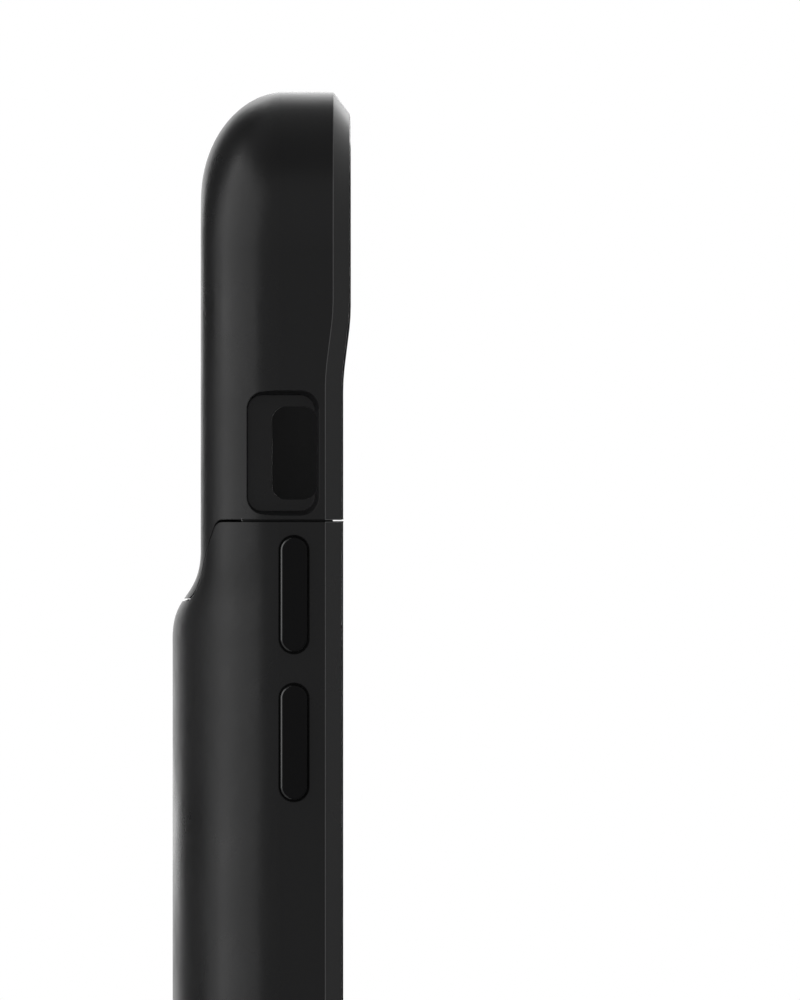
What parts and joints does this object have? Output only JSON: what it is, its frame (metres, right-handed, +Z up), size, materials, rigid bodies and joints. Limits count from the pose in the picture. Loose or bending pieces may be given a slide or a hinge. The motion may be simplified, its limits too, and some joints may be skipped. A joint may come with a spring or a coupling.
{
  "type": "battery charging case",
  "caption": "Two-piece phone case with a battery bulge, lift-off top cap, camera opening, side keys, built-in plug and charging inlet.",
  "frame": {"origin": "middle of the bottom end, on the surface that the case stands on", "axes": "+Z up the case towards the camera end, -Y out of the screen side, +X towards the side with one long key"},
  "size_m": [0.0768, 0.016, 0.1587],
  "materials": {
    "shell": "soft-touch matt black",
    "liner": "dark microfibre",
    "tray": "matt black",
    "cell_foil": "laminated foil",
    "adhesive": "foam tape",
    "board": "solder mask",
    "nickel": "nickel strip",
    "steel": "drawn steel",
    "chip": "moulded epoxy",
    "ferrite": "ferrite",
    "capacitor": "ceramic",
    "port_plastic": "glass-filled black",
    "flex_film": "amber film",
    "led": "clear lens",
    "guide": "frosted clear",
    "key_gloss": "satin gloss black",
    "key_matt": "matt black"
  },
  "bodies": {
    "housing": {"battery_housing": "shell", "inner_tray": "tray", "battery_cell": "cell_foil", "adhesive_pads": "adhesive", "cell_board": "board", "cell_leads": "nickel", "control_board": "board", "board_screws": "steel", "charger_chip": "chip", "boost_inductor": "ferrite", "board_capacitors": "capacitor", "charge_port_shell": "steel", "charge_port_tongue": "port_plastic", "phone_plug_boot": "port_plastic", "phone_plug_shell": "steel", "phone_plug_core": "port_plastic", "plug_flex": "flex_film", "status_leds": "led", "light_guide": "guide", "status_switch": "port_plastic", "volume_retainer": "tray", "side_retainer": "tray"},
    "cap": {"top_cap": "shell", "cap_liner": "liner"},
    "volume_up": {"volume_up_button": "key_gloss"},
    "volume_down": {"volume_down_button": "key_gloss"},
    "side": {"side_button": "key_matt"},
    "status": {"status_button": "key_gloss"}
  },
  "joints": [
    {"name": "cap_lift", "type": "slide", "parent": "housing", "child": "cap", "axis": [0, 0, 1], "range_m": [0, 0.03]},
    {"name": "volume_up_press", "type": "slide", "parent": "housing", "child": "volume_up", "axis": [1, 0, 0], "range_m": [0, 0.0004], "stiffness_N_per_m": 1000},
    {"name": "volume_down_press", "type": "slide", "parent": "housing", "child": "volume_down", "axis": [1, 0, 0], "range_m": [0, 0.0004], "stiffness_N_per_m": 1000},
    {"name": "side_press", "type": "slide", "parent": "housing", "child": "side", "axis": [-1, 0, 0], "range_m": [0, 0.0004], "stiffness_N_per_m": 1000},
    {"name": "status_press", "type": "slide", "parent": "housing", "child": "status", "axis": [0, -1, 0], "range_m": [0, 0.00035], "stiffness_N_per_m": 1000}
  ]
}
